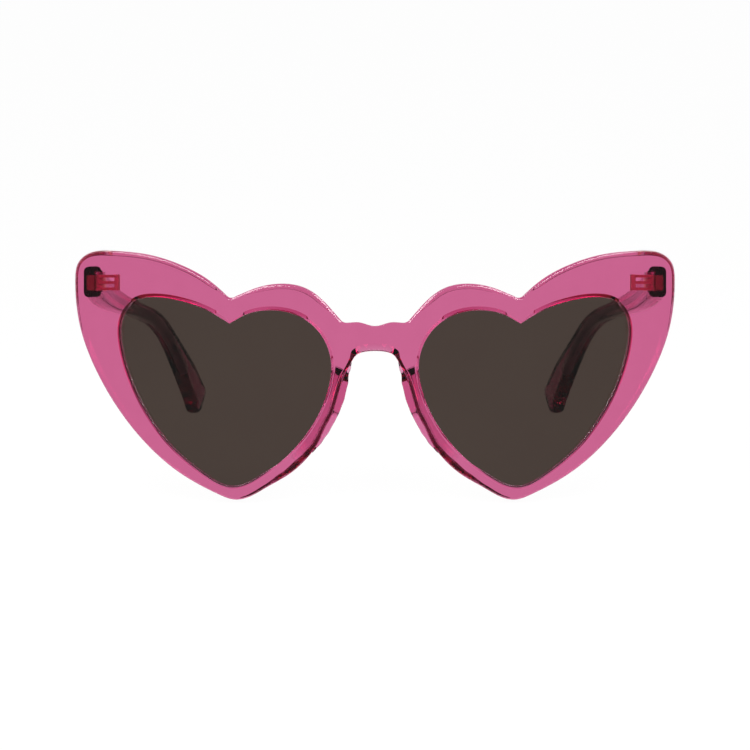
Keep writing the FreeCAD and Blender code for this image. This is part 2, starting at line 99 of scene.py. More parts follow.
# Temple seen from above: distance behind the butt, how far its inner face has turned in.
TEMPLE_PLAN = [
    (-8, -0.3), (0, 0), (27, 1.0), (47, 2.6), (62, 5.0), (77, 8.8), (92, 13.1), (108, 17.6), (118, 20.4),
]

# Steps along the outlines and across the faces, and the counts from which even steps are taken.
STEP = 0.4
PLAN_STEP = 0.25
TEMPLE_STEP = 0.6
TIP_STEP = 0.35
FRONT_GRID = 2.2
LENS_GRID = 2.5
TEMPLE_GRID = 1.5
CURVE_COUNT = 3000
ARC_COUNT = 300

# Share of an edge that the rounding of a corner may take, and share of the grid kept clear at an edge.
CORNER_ROOM = 0.48
FIRST_CORNER_ROOM = 0.7
GRID_CLEAR = 0.45

# Angle past which an edge stays sharp, and the lengths below which places count as one: in the outlines
# and at the butt in millimetres, and in the finished forms in metres.
SHARP_ANGLE = 30.0
FILL_TOLERANCE = 1e-7
SAME_PLACE = 1e-6
BUTT_TOLERANCE = 0.02
MERGE_LENGTH = 1e-7
NO_LENGTH = 1e-8


def unit(v):
    return v / np.linalg.norm(v, axis=-1, keepdims=True)


def grown(value, start, length):
    """Share from 0 to 1 that a value has grown to, over a length past a start."""
    return np.clip((value - start) / length, 0, 1)


def even(found, gap):
    """Even steps along a run of close points."""
    run = np.concatenate([[0.0], np.cumsum(np.linalg.norm(np.diff(found, axis=0), axis=1))])
    marks = np.linspace(0, run[-1], max(3, int(round(run[-1] / gap))) + 1)
    return np.stack([np.interp(marks, run, found[:, 0]), np.interp(marks, run, found[:, 1])], 1)


def straight(first, last, gap):
    """Even steps along a straight line."""
    return even(np.array([first, last], float), gap)


def smooth(points, start, end, gap=STEP):
    """Steps along a smooth curve through points, whose direction is given at both ends."""
    pts = np.array(points, float)
    marks = np.concatenate([[0.0], np.cumsum(np.linalg.norm(np.diff(pts, axis=0), axis=1))])
    count = len(pts)
    left = np.eye(count)
    right = np.zeros((count, 2))
    right[0] = unit(np.array(start, float))
    right[-1] = unit(np.array(end, float))
    for i in range(1, count - 1):
        before, after = marks[i] - marks[i - 1], marks[i + 1] - marks[i]
        left[i, i - 1:i + 2] = after, 2 * (before + after), before
        right[i] = 3 * (after * (pts[i] - pts[i - 1]) / before + before * (pts[i + 1] - pts[i]) / after)
    ways = np.linalg.solve(left, right)
    fine = np.linspace(0, marks[-1], CURVE_COUNT)
    k = np.clip(np.searchsorted(marks, fine, side="right") - 1, 0, count - 2)
    span = (marks[k + 1] - marks[k])[:, None]
    u = (fine - marks[k])[:, None] / span
    found = (2 * u ** 3 - 3 * u ** 2 + 1) * pts[k] + (u ** 3 - 2 * u ** 2 + u) * span * ways[k]
    found = found + (3 * u ** 2 - 2 * u ** 3) * pts[k + 1] + (u ** 3 - u ** 2) * span * ways[k + 1]
    return even(found, gap)


def arc(points, gap=STEP):
    """Steps along the circle through three points."""
    (ax, ay), (bx, by), (cx, cy) = points
    d = 2 * (ax * (by - cy) + bx * (cy - ay) + cx * (ay - by))
    aa, bb, cc = ax * ax + ay * ay, bx * bx + by * by, cx * cx + cy * cy
    ux = (aa * (by - cy) + bb * (cy - ay) + cc * (ay - by)) / d
    uy = (aa * (cx - bx) + bb * (ax - cx) + cc * (bx - ax)) / d
    turns = np.unwrap([math.atan2(y - uy, x - ux) for x, y in points])
    turn = np.interp(np.linspace(0, 2, ARC_COUNT), [0, 1, 2], turns)
    radius = math.hypot(ax - ux, ay - uy)
    return even(np.stack([ux + radius * np.cos(turn), uy + radius * np.sin(turn)], 1), gap)


def joined(runs):
    """Runs end to end, with the number of the run and the share along it at each point."""
    places, tags = [], []
    for number, run in enumerate(runs):
        for step, place in enumerate(run[:-1]):
            places.append(place)
            tags.append((number, step / (len(run) - 1)))
    places.append(runs[-1][-1])
    tags.append((len(runs) - 1, 1.0))
    return np.array(places), tags


def ways_out(loop):
    """At each point of a closed loop, the mitred way out of the material on its right."""
    back = unit(loop - np.roll(loop, 1, axis=0))
    ahead = unit(np.roll(loop, -1, axis=0) - loop)
    first = np.stack([-back[:, 1], back[:, 0]], 1)
    last = np.stack([-ahead[:, 1], ahead[:, 0]], 1)
    return (first + last) / (1 + (first * last).sum(1, keepdims=True))


def bow(start, corner, end, steps):
    """Points along the rounding of a corner."""
    ways = np.linspace(0, 1, steps + 1)
    return [(1 - u) ** 2 * start + 2 * u * (1 - u) * corner + u * u * end for u in ways]


def rounded(corners, rounds, hold, steps):
    """Points along a profile of (inset, depth) corners, each rounded over a given length."""
    first, last = corners[0], corners[-1]
    path = [np.array((first[0] + rounds[0] + hold, first[1]))]
    path += [np.array(c, float) for c in corners]
    path += [np.array((last[0] + rounds[-1] + hold, last[1]))]
    found = [path[0]]
    for i, reach in enumerate(rounds, 1):
        into, away = path[i] - path[i - 1], path[i + 1] - path[i]
        start = path[i] - into * min(1.0 if i == 1 else CORNER_ROOM, reach / np.linalg.norm(into))
        room = 1.0 if i == len(rounds) else FIRST_CORNER_ROOM if i == 1 else CORNER_ROOM
        end = path[i] + away * min(room, reach / np.linalg.norm(away))
        found += bow(start, path[i], end, steps)
    found.append(path[-1])
    return np.array(found)


def rounded_loop(corners, rounds, steps):
    """Closed section of (inset, depth) corners, each rounded over a given length."""
    section = []
    for k, reach in enumerate(rounds):
        here = np.array(corners[k])
        into, away = here - corners[k - 1], np.array(corners[(k + 1) % len(corners)]) - here
        start = here - into * min(CORNER_ROOM, reach / np.linalg.norm(into))
        end = here + away * min(CORNER_ROOM, reach / np.linalg.norm(away))
        section += bow(start, here, end, steps)
    return np.array(section)


def eased(steps, share):
    """Value that changes smoothly between named shares of the way."""
    for (first, low), (last, high) in zip(steps, steps[1:]):
        if share <= last:
            part = (share - first) / (last - first)
            return low + (high - low) * part * part * (3 - 2 * part)
    return steps[-1][1]


def within(steps, share):
    """True between the first and the last of the named shares."""
    return steps[0][0] <= share <= steps[-1][0]


def inside(points, loop):
    """For each point, whether it lies inside a loop."""
    x, y = points[:, 0][:, None], points[:, 1][:, None]
    ax, ay = loop[:, 0], loop[:, 1]
    bx, by = np.roll(ax, -1), np.roll(ay, -1)
    cross = (ay > y) != (by > y)
    with np.errstate(divide="ignore", invalid="ignore"):
        hit = cross & (x < (bx - ax) * (y - ay) / (by - ay) + ax)
    return hit.sum(1) % 2 == 1


def between(points, loops):
    """For each point, whether it lies inside the first loop and in none of its holes."""
    keep = inside(points, loops[0])
    for hole in loops[1:]:
        keep &= ~inside(points, hole)
    return keep


def filled(loops, grid):
    """Triangles between an outer loop and the holes in it, with points on a grid inside."""
    places = np.concatenate(loops)
    edges, start = [], 0
    for loop in loops:
        count = len(loop)
        edges += [(start + i, start + (i + 1) % count) for i in range(count)]
        start += count
    low, high = places.min(0), places.max(0)
    gx, gy = np.meshgrid(np.arange(low[0], high[0], grid), np.arange(low[1], high[1], grid))
    spots = np.stack([gx.ravel(), gy.ravel()], 1)
    spots = spots[between(spots, loops)]
    away = np.array([np.hypot(*(places - s).T).min() for s in spots])
    every = np.concatenate([places, spots[away > GRID_CLEAR * grid]])
    made = delaunay_2d_cdt([Vector(p) for p in every], edges, [], 0, FILL_TOLERANCE, True)
    names = [ids[0] for ids in made[3]]
    faces = [[names[v] for v in face] for face in made[2]]
    keep = between(np.array([every[f].mean(0) for f in faces]), loops)
    return every, [f for f, k in zip(faces, keep) if k]


def slab(loops, place, grid):
    """Points and faces of a plate with rounded edges: its loops, each with its rings of (inset, depth)."""
    points, faces, rims = [], [], []
    start = 0
    for loop, out, rings in loops:
        count, turns = rings.shape[0], rings.shape[1]
        flat = loop[:, None, :] - out[:, None, :] * rings[:, :, :1]
        points.append(place(np.concatenate([flat, rings[:, :, 1:]], 2).reshape(-1, 3)))
        for i in range(count):
            here, there = start + i * turns, start + (i + 1) % count * turns
            faces += [(here + k, there + k, there + k + 1, here + k + 1) for k in range(turns - 1)]
        rims.append((start, turns, flat, rings))
        start += count * turns
    for end in (0, -1):
        every, found = filled([flat[:, end] for _, _, flat, _ in rims], grid)
        names = []
        for first, turns, flat, _ in rims:
            names += [first + i * turns + (turns - 1 if end else 0) for i in range(len(flat))]
        extra = every[len(names):]
        depth = rims[0][3][0, end, 1]
        points.append(place(np.column_stack([extra, np.full(len(extra), depth)])))
        names += list(range(start, start + len(extra)))
        start += len(extra)
        faces += [tuple(names[v] for v in face) for face in found]
    return np.concatenate(points), faces


def tube(rows, first):
    """Points and faces of a closed form through equal sections, numbered from a first point."""
    count = len(rows[0])
    faces = []
    for number in range(len(rows) - 1):
        here, there = first + number * count, first + (number + 1) * count
        for k in range(count):
            after = (k + 1) % count
            faces.append((here + k, there + k, there + after, here + after))
    ends = [first, first + (len(rows) - 1) * count]
    return bent(np.concatenate(rows)), faces + [tuple(range(end, end + count)) for end in ends]


def prism(corners, low, high):
    """Points and faces of an upright block with a given plan."""
    count = len(corners)
    points = np.concatenate([np.column_stack([corners, np.full(count, z)]) for z in (low, high)])
    faces = [(i, (i + 1) % count, count + (i + 1) % count, count + i) for i in range(count)]
    return points, faces + [tuple(range(count)), tuple(range(count, 2 * count))]


def bent(points):
    """Sight from the front and depth into the thickness, bent round the face."""
    x, z, depth = points[:, 0], points[:, 1], points[:, 2]
    return np.stack([x, FRONT_RADIUS - np.sqrt((FRONT_RADIUS - depth) ** 2 - x * x), z], 1)


def placed(points):
    """From the front's own frame, in millimetres, to the table, in metres."""
    points = np.asarray(points, float)
    s, c = math.sin(LEAN), math.cos(LEAN)
    x, y, z = points[:, 0], points[:, 1], points[:, 2]
    return np.stack([x + ORIGIN[0], y * c + z * s + ORIGIN[1], -y * s + z * c + ORIGIN[2]], 1) * METRES


def solid(name, points, faces, sharp=SHARP_ANGLE):
    """Closed, smooth-shaded object in the front's frame."""
    mesh = bpy.data.meshes.new(name)
    mesh.from_pydata([tuple(p) for p in placed(points)], [], faces)
    work = bmesh.new()
    work.from_mesh(mesh)
    bmesh.ops.remove_doubles(work, verts=work.verts, dist=MERGE_LENGTH)
    bmesh.ops.dissolve_degenerate(work, edges=work.edges, dist=NO_LENGTH)
    bmesh.ops.recalc_face_normals(work, faces=work.faces)
    work.to_mesh(mesh)
    work.free()
    for face in mesh.polygons:
        face.use_smooth = True
    mesh.set_sharp_from_angle(angle=math.radians(sharp))
    held = bpy.data.objects.new(name, mesh)
    scene.collection.objects.link(held)
    return held


# Front: one plate with a bevelled back edge, and two grooved openings.
half, tags = joined([
    smooth(BRIDGE_TOP, (1, 0), (1, 0)), arc(BRIDGE_CORNER),
    smooth(INNER_LOBE, (0.67, 0.74), (0.93, -0.37)), arc(CLEFT),
    smooth(OUTER_LOBE, (0.72, 0.69), (-1, 0)), smooth(NOSE_SIDE, (-1, 0), (-1, 0)),
])
outline = np.concatenate([half, half[1:-1][::-1] * (-1, 1)])
outline_tags = tags + tags[1:-1][::-1]
outline_out = ways_out(outline)

# By run of the outline: width and height of the back bevel, and how far the edges are rounded.
BEVEL_WIDTH = [
    [(0, 0.35), (1, 0.35)], [(0, 0.35), (1, 0.5)], [(0, 0.5), (0.25, 1.25), (0.75, 1.25), (1, 0.45)],
    [(0, 0.45), (1, 0.45)],
    [(0, 0.45), (0.05, 1.1), (0.27, 1.1), (0.34, 0.8), (0.45, 0.75), (0.56, 0.25), (0.7, 0.12), (1, 0.2)],
    [(0, 0.2), (0.04, 0.5), (0.15, 0.7), (0.25, 1.3), (0.33, 1.6), (0.4, 1.35), (0.454, 1.1), (0.55, 0.95),
     (0.62, 0.92), (0.75, 0.92), (0.86, 0.8), (0.885, 0.9), (0.912, 1.6), (0.935, 1.8), (1, 1.8)],
]
BEVEL_HEIGHT = [
    [(0, 1.0), (1, 1.0)], [(0, 1.0), (1, 2.5)], [(0, 2.5), (0.2, 4.0), (1, 4.0)],
    [(0, 4.0), (1, 4.0)],
    [(0, 4.0), (0.56, 4.0), (0.8, 2.0), (1, 1.0)],
    [(0, 1.0), (0.04, 0.7), (0.15, 0.8), (0.25, 1.4), (0.33, 1.7), (0.4, 1.45), (0.454, 1.2), (0.55, 1.05),
     (0.62, 1.0), (0.75, 1.0), (0.86, 0.9), (0.885, 1.0), (0.912, 1.75), (0.935, 1.25), (1, 1.25)],
]
BACK_ROUND = [
    [(0, 0.3), (1, 0.3)], [(0, 0.3), (1, 0.04)], [(0, 0.04), (1, 0.04)], [(0, 0.04), (1, 0.06)],
    [(0, 0.06), (0.1, 0.12), (0.5, 0.12), (1, 0.1)], [(0, 0.1), (0.1, 0.06), (1, 0.06)],
]
FRONT_ROUND = [
    [(0, 0.6), (1, 0.6)], [(0, 0.6), (1, 0.8)], [(0, 0.8), (0.3, 1.0), (1, 0.7)],
    [(0, 0.7), (1, 0.7)], [(0, 0.7), (0.06, 1.0), (0.2, 0.8), (0.3, 0.4), (1, 0.4)],
    [(0, 0.4), (0.3, 0.4), (0.42, 0.12), (0.88, 0.12), (0.93, 0.4), (1, 0.4)],
]
KNEE_ROUND = 0.25
NOSE_KNEE_ROUND = 0.06
EDGE_HOLD = 0.3
EDGE_STEPS = 8


def outline_rings(tag):
    """Section of the front's outer edge."""
    run, share = tag
    width, height = eased(BEVEL_WIDTH[run], share), eased(BEVEL_HEIGHT[run], share)
    corners = [(0, 0), (0, FRONT_THICKNESS - height), (width, FRONT_THICKNESS)]
    knee = NOSE_KNEE_ROUND if run == NOSE_RUN else KNEE_ROUND
    rounds = [eased(FRONT_ROUND[run], share), knee, eased(BACK_ROUND[run], share)]
    return rounded(corners, rounds, EDGE_HOLD, EDGE_STEPS)


# Rim of a lens: from its front face, where the groove starts, is deepest and ends, and its depth on the
# inner side, along the top and on the outer side, where it has a shoulder; and how far the rim stands
# back from the lens or hangs over it.
GROOVE = (1.5, 2.5, 3.5)
GROOVE_DEPTH = 0.3
GROOVE_MORE = 0.4
RIM_LIP = 0.45
OUTER_DEPTH = 0.28
OUTER_LIP = 0.4
SHOULDER_WIDTH = 0.45
SHOULDER_HEIGHT = 0.44
BACK_FLARE = 0.2
LEAST = 0.01
SLACK = 0.04
RIM_ROUNDS = [0.1, 0.05, 0.02, 0.02, 0.08, 0.02, 0.02, 0.05, 0.2]
RIM_HOLD = 0.2
RIM_STEPS = 4
RIDGE_ROUNDS = [0.05, 0.02, 0.02, 0.05, 0.02, 0.02, 0.05]
RIDGE_HOLD = 0.5
RIDGE_STEPS = 3

# Where each of these holds: which way the outer side faces, where it and the top start, how far the
# deeper groove runs on along the cleft, and how far it and the lip keep from the cleft's tip, each with
# the length over which it grows.
OUTER_WAY = (-0.8, 0.6)
OUTER_START = (-0.05, 0.1)
TOP_START = (0.82, 0.03)
CLEFT_REACH = (9.0, 1.0)
CLEFT_CLEAR = (4.0, 0.4)
LIP_CLEAR = (0.5, 2.0)
TIP_CLEAR = 0.95

nose = smooth(OPENING_NOSE, (-0.88, 0.475), (1, 0))
outer = smooth(OPENING_OUTER, (1, 0), (-0.85, -0.53))
heart = np.concatenate([nose[:-1], outer[:-1]])
tip_away = np.hypot(*(heart - heart[0]).T)
heart = heart[(tip_away == 0) | (tip_away > TIP_CLEAR)]
heart_out = ways_out(heart)


def rim_form(place, out):
    """Inset of the rim's front edge and of its lip, the shoulder's width and height, the groove's depth."""
    turn = float(np.dot(unit(out), OUTER_WAY))
    outer_side = float(grown(turn, *OUTER_START))
    from_tip = np.hypot(*(place - heart[0]))
    level = max(grown(-unit(out)[1], *TOP_START), grown(-from_tip, -CLEFT_REACH[0], CLEFT_REACH[1]))
    depth = GROOVE_DEPTH + GROOVE_MORE * level * grown(from_tip, *CLEFT_CLEAR)
    depth += (OUTER_DEPTH - depth) * outer_side
    edge = -OUTER_LIP * outer_side
    lip = RIM_LIP * max(-turn, 0.0) * grown(from_tip, *LIP_CLEAR) + edge
    flat, step = (max(size * outer_side, LEAST) for size in (SHOULDER_WIDTH, SHOULDER_HEIGHT))
    return edge, lip, flat, step, depth


def groove_corners(lip, flat, step, depth, slack):
    """Section of the groove, from its front to its back."""
    front, middle, back = GROOVE[0] + slack, GROOVE[1], GROOVE[2] - slack
    shoulder = lip + flat
    return [
        (lip, front), (shoulder, front + LEAST), (shoulder, front + step), (shoulder + depth, middle),
        (shoulder, back - step), (shoulder, back - LEAST), (lip, back),
    ]


def opening_rings(place, out):
    """Section of the front at the edge of an opening."""
    edge, lip, flat, step, depth = rim_form(place, out)
    corners = [(edge, 0), *groove_corners(lip, flat, step, depth, 0.0), (lip + BACK_FLARE, FRONT_THICKNESS)]
    return rounded(corners, RIM_ROUNDS, RIM_HOLD, RIM_STEPS)


def ridge_rings(place, out):
    """Edge of a lens, which sits in the groove."""
    _, lip, flat, step, depth = rim_form(place, out)
    corners = [(SLACK - inset, down) for inset, down in groove_corners(lip, flat, step, depth, SLACK)]
    return rounded(corners, RIDGE_ROUNDS, RIDGE_HOLD, RIDGE_STEPS)


rim = np.array([opening_rings(*spot) for spot in zip(heart, heart_out)])
loops = [(outline, outline_out, np.array([outline_rings(tag) for tag in outline_tags]))]
loops += [(heart, heart_out, rim), (heart[::-1] * (-1, 1), heart_out[::-1] * (-1, 1), rim[::-1])]
front = solid("front", *slab(loops, bent, FRONT_GRID))

# Lenses.
ridge = np.array([ridge_rings(*spot) for spot in zip(heart, heart_out)])
pane_points, pane_faces = slab([(heart, -heart_out, ridge)], bent, LENS_GRID)
lenses = {}
for side, mirror in MIRROR.items():
    lenses[side] = solid("lens_" + side + "_pane", pane_points * mirror, pane_faces)

# Temples: thickness, how far the edges are rounded by run of the side view, and what is trimmed off
# at the butt and at the hinge's barrels.
TEMPLE_DEPTH = 4.0
BUTT_THICKNESS = 4.4
TIP_THICKNESS = 3.8
FACE_INSET = 0.2
BUTT_ROUND = [(0, 1.4), (1, 1.4)]
TIP_ROUND = [(0, 1.7), (1, 1.7)]
TEMPLE_ROUND = [
    [(0, 1.4), (0.1, 1.0), (0.9, 1.0), (1, 1.7)], TIP_ROUND, TIP_ROUND, TIP_ROUND,
    [(0, 1.7), (0.1, 1.0), (0.9, 1.0), (1, 1.4)], BUTT_ROUND, BUTT_ROUND, BUTT_ROUND,
]
TEMPLE_HOLD = 0.25
AHEAD_CLEAR = 2.2
NOTCH_RADIUS = 1.5
NOTCH_BELOW = 2.25
NOTCH_ABOVE = 2.9
NOTCH_SIDES = 48
TRIM_ACROSS = (58, 80)
TRIM_STEPS = 45
TRIM_FRONT = -12
TRIM_HALF_HEIGHT = 15

plan = smooth(TEMPLE_PLAN, (1, 0.03), (1, 0.28), PLAN_STEP)
profile, profile_tags = joined([
    smooth(TEMPLE_TOP, (1, -0.117), (0.83, -0.56), TEMPLE_STEP),
    arc(TEMPLE_HEEL, TIP_STEP),
    straight(TEMPLE_HEEL[-1], TEMPLE_TOE[0], STEP),
    arc(TEMPLE_TOE, TIP_STEP),
    smooth(TEMPLE_BOTTOM, (-0.64, 0.77), (-1, 0.08), TEMPLE_STEP),
    straight(TEMPLE_BOTTOM[-1], TEMPLE_AHEAD[0], TEMPLE_STEP),
    straight(*TEMPLE_AHEAD, TEMPLE_STEP),
    straight(TEMPLE_AHEAD[1], TEMPLE_TOP[0], TEMPLE_STEP),
])
profile, profile_tags = profile[:-1], profile_tags[:-1]
keep = np.ones(len(profile), bool)
for corner in TEMPLE_AHEAD:
    corner_away = np.hypot(*(profile - corner).T)
    keep &= (corner_away < SAME_PLACE) | (corner_away > AHEAD_CLEAR)
profile = profile[keep]
profile_tags = [tag for tag, kept in zip(profile_tags, keep) if kept]


def temple_rings(tag):
    """Section of the temple's edge."""
    reach = eased(TEMPLE_ROUND[tag[0]], tag[1])
    return rounded([(0, 0), (0, TEMPLE_DEPTH)], [reach, reach], TEMPLE_HOLD, EDGE_STEPS)


def along(points):
    """Distance behind the butt, height above the hinge and depth from the inner face, on a temple."""
    distance, height, depth = points[:, 0], points[:, 1], points[:, 2]
    share = np.clip(distance / TEMPLE_PLAN[-1][0], 0, 1)
    thick = BUTT_THICKNESS + (TIP_THICKNESS - BUTT_THICKNESS) * share
    x = PIN_X - FACE_INSET - np.interp(distance, plan[:, 0], plan[:, 1]) + depth / TEMPLE_DEPTH * thick
    return np.stack([x, BUTT_Y + distance, PIN_Z + height], 1)


def trimmed(held, cutter):
    """Cuts one object out of another, and removes the cutter."""
    trim = held.modifiers.new("trim", "BOOLEAN")
    trim.operation = "DIFFERENCE"
    trim.solver = "EXACT"
    trim.object = cutter
    ready = bpy.data.meshes.new_from_object(held.evaluated_get(bpy.context.evaluated_depsgraph_get()))
    held.modifiers.clear()
    held.data = ready
    bpy.data.objects.remove(cutter)


def on_butt(spot):
    """True at places of the table, in metres, that lie on a temple's butt."""
    x, y, z = (value / METRES - shift for value, shift in zip(spot, ORIGIN))
    depth = y * math.cos(LEAN) - z * math.sin(LEAN)
    return abs(math.hypot(x, FRONT_RADIUS - depth) - BACK_RADIUS + BUTT_GAP) < BUTT_TOLERANCE


temple_edge = np.array([temple_rings(tag) for tag in profile_tags])
temple_points, temple_faces = slab([(profile, ways_out(profile), temple_edge)], along, TEMPLE_GRID)
turns = np.linspace(0, 2 * np.pi, NOTCH_SIDES + 1)[:-1]
barrel = np.stack([PIN_X + NOTCH_RADIUS * np.cos(turns), PIN_Y + NOTCH_RADIUS * np.sin(turns)], 1)
across = np.linspace(*TRIM_ACROSS, TRIM_STEPS)
butt = np.stack([across, FRONT_RADIUS - np.sqrt((BACK_RADIUS - BUTT_GAP) ** 2 - across ** 2)], 1)
stock = np.concatenate([butt, [(x, TRIM_FRONT) for x in TRIM_ACROSS[::-1]]])
cutters = [
    prism(stock, PIN_Z - TRIM_HALF_HEIGHT, PIN_Z + TRIM_HALF_HEIGHT),
    prism(barrel, PIN_Z - NOTCH_BELOW, PIN_Z + NOTCH_ABOVE),
]
temples = {}
for side, mirror in MIRROR.items():
    temples[side] = solid("temple_" + side + "_arm", temple_points * mirror, temple_faces)
    for points, faces in cutters:
        trimmed(temples[side], solid("cutter", points * mirror, faces))
    temples[side].data.set_sharp_from_angle(angle=math.radians(SHARP_ANGLE))

# Nose pads, bonded to the nose side of the front: how far each stands out of it and how far back it
# reaches, by the share of the nose side. A root is bonded to the back of the rim beside the pad, and
# both lie a hair inside the front.
PAD_OUT = [
    (0.41, 0.0), (0.437, 0.2), (0.487, 0.72), (0.54, 1.25), (0.6, 1.3), (0.648, 1.46), (0.698, 1.65),
    (0.767, 1.5), (0.832, 0.6), (0.877, 0.0),
]
PAD_BACK = [(0.41, 2.6), (0.45, 5.6), (0.605, 5.8), (0.65, 7.4), (0.76, 7.4), (0.84, 4.0), (0.877, 2.6)]
PAD_LEAST = 0.08
PAD_FRONT = 1.2
PAD_SINK = 0.06
PAD_STAND_OFF = 0.03
PAD_KNEE_AHEAD = 0.2
PAD_KNEE_LENGTH = 0.12
PAD_ROUND = 0.35
PAD_ROUND_SHARE = 0.4
PAD_SHARP = 40.0
ROOT_RISE = [(0.33, -0.25), (0.45, 1.2), (0.62, 1.2), (0.778, 2.4), (0.832, -0.25)]
ROOT_ROUND_SHARE = 0.3
ROOT_SINK = 0.3
ROOT_BEVEL_GAP = 0.1
ROOT_RIM_GAP = 0.75
BOND_ROUND = 0.02
SECTION_STEPS = 6


def pad_section(share):
    """Section of a pad, at a share of the nose side."""
    bulge, back = eased(PAD_OUT, share) + PAD_LEAST, eased(PAD_BACK, share)
    knee = min(FRONT_THICKNESS - eased(BEVEL_HEIGHT[NOSE_RUN], share), back) - PAD_KNEE_AHEAD
    soft = min(PAD_ROUND, PAD_ROUND_SHARE * bulge)
    corners = [
        (PAD_SINK, PAD_FRONT), (PAD_SINK, knee), (-PAD_STAND_OFF, knee + PAD_KNEE_LENGTH),
        (-PAD_STAND_OFF, back), (-bulge, back), (-bulge, PAD_FRONT),
    ]
    return rounded_loop(corners, [BOND_ROUND] * 3 + [soft] * 3, SECTION_STEPS)


def root_section(share, rim_away):
    """Section of a pad's root, at a share of the nose side and a distance from the lens."""
    near, far = eased(BEVEL_WIDTH[NOSE_RUN], share) + ROOT_BEVEL_GAP, rim_away - ROOT_RIM_GAP
    rise = eased(ROOT_RISE, share)
    low, high = FRONT_THICKNESS - ROOT_SINK, FRONT_THICKNESS + rise
    soft = max(BOND_ROUND, ROOT_ROUND_SHARE * rise)
    corners = [(near, low), (near, high), (far, high), (far, low)]
    return rounded_loop(corners, [BOND_ROUND, soft, soft, BOND_ROUND], SECTION_STEPS)


def at_edge(place, out, section):
    """Section of (inset, depth) points, set up at a place of the front's edge."""
    return np.column_stack([place - out * section[:, :1], section[:, 1]])


pad_rows, root_rows = [], []
for (run, share), place, out in zip(tags, half, outline_out):
    if run == NOSE_RUN and within(PAD_OUT, share):
        pad_rows.append(at_edge(place, out, pad_section(share)))
    if run == NOSE_RUN and within(ROOT_RISE, share):
        rim_away = np.hypot(*(heart - place).T).min()
        root_rows.append(at_edge(place, out, root_section(share, rim_away)))
pad_points, pad_faces = tube(pad_rows, 0)
root_points, root_faces = tube(root_rows, len(pad_points))
bonded_points = np.concatenate([pad_points, root_points])
pads = {}
for side, mirror in MIRROR.items():
    form = bonded_points * mirror
    pads[side] = solid("nose_pad_" + side + "_form", form, pad_faces + root_faces, PAD_SHARP)


# Looks, from noise: the shares of it between which a colour changes.
RAMP_PLACES = (0.3, 0.7)


def material(name):
    made = bpy.data.materials.new(name)
    made.use_nodes = True
    tree = made.node_tree
    tree.nodes.clear()
    return made, tree, tree.nodes.new("ShaderNodeOutputMaterial")


def add(tree, kind, **values):
    node = tree.nodes.new(kind)
    for key, value in values.items():
        setattr(node, key, value)
    return node


def link(tree, source, target):
    tree.links.new(source, target)


def noise(tree, scale, detail, stretch=(1.0, 1.0, 1.0)):
    where = add(tree, "ShaderNodeTexCoord")
    place = add(tree, "ShaderNodeMapping")
    place.inputs["Scale"].default_value = stretch
    link(tree, where.outputs["Object"], place.inputs["Vector"])
    made = add(tree, "ShaderNodeTexNoise")
    made.inputs["Scale"].default_value = scale
    made.inputs["Detail"].default_value = detail
    link(tree, place.outputs["Vector"], made.inputs["Vector"])
    return made.outputs["Fac"]


def ranged(tree, source, low, high):
    made = add(tree, "ShaderNodeMapRange")
    made.inputs["To Min"].default_value = low
    made.inputs["To Max"].default_value = high
    link(tree, source, made.inputs["Value"])
    return made.outputs["Result"]


def ramp(tree, source, colours):
    made = add(tree, "ShaderNodeValToRGB")
    for point, place, colour in zip(made.color_ramp.elements, RAMP_PLACES, colours):
        point.position = place
        point.color = (*colour, 1.0)
    link(tree, source, made.inputs["Fac"])
    return made.outputs["Color"]


def bump(tree, source, depth):
    made = add(tree, "ShaderNodeBump")
    made.inputs["Strength"].default_value = 1.0
    made.inputs["Distance"].default_value = depth
    link(tree, source, made.inputs["Height"])
    return made.outputs["Normal"]


def combined(tree, operation, first, second):
    """Two node outputs, or an output and a number, put through one operation."""
    made = add(tree, "ShaderNodeMath", operation=operation)
    link(tree, first, made.inputs[0])
    if isinstance(second, float):
        made.inputs[1].default_value = second
    else:
        link(tree, second, made.inputs[1])
    return made.outputs[0]


# Clear plastic: its faint clouds, how much finer its grain is than these, and its waves. The dyes of the
# acetate and of the lenses, their optical index, and the height of their waves in metres.
CLEAR = [(0.97, 0.95, 0.96), (1.0, 1.0, 1.0)]
CLOUD_DETAIL = 3.0
GRAIN_FINER = 4
GRAIN_DETAIL = 4.0
WAVE_SCALE = 90.0
WAVE_DETAIL = 1.0
ACETATE_INDEX = 1.49
ACETATE_DYE = (0.78, 0.05, 0.426)
ACETATE_DENSITY = 420.0
ACETATE_WAVE = 8e-6
LENS_INDEX = 1.5
LENS_DYE = (0.166, 0.064, 0.0)
LENS_DENSITY = 1690.0
LENS_WAVE = 3e-6

# Metal: its grain, drawn out along one way, how much darker that is, and its height in metres.
METAL_GRAIN = 1500.0
METAL_DETAIL = 3.0
METAL_STRETCH = (1.0, 1.0, 0.2)
METAL_SHADE = 0.8
METAL_BUMP = 4e-6


def see_through(name, rough, scale, index, dye, density, wave):
    """Clear plastic, coloured by the light's way through it."""
    made, tree, out = material(name)
    skin = add(tree, "ShaderNodeBsdfPrincipled")
    skin.inputs["IOR"].default_value = index
    skin.inputs["Transmission Weight"].default_value = 1.0
    link(tree, ramp(tree, noise(tree, scale, CLOUD_DETAIL), CLEAR), skin.inputs["Base Color"])
    grain = noise(tree, GRAIN_FINER * scale, GRAIN_DETAIL)
    link(tree, ranged(tree, grain, *rough), skin.inputs["Roughness"])
    link(tree, bump(tree, noise(tree, WAVE_SCALE, WAVE_DETAIL), wave), skin.inputs["Normal"])
    link(tree, skin.outputs["BSDF"], out.inputs["Surface"])
    body = add(tree, "ShaderNodeVolumeAbsorption")
    body.inputs["Color"].default_value = (*dye, 1.0)
    body.inputs["Density"].default_value = density
    link(tree, body.outputs["Volume"], out.inputs["Volume"])
    return made


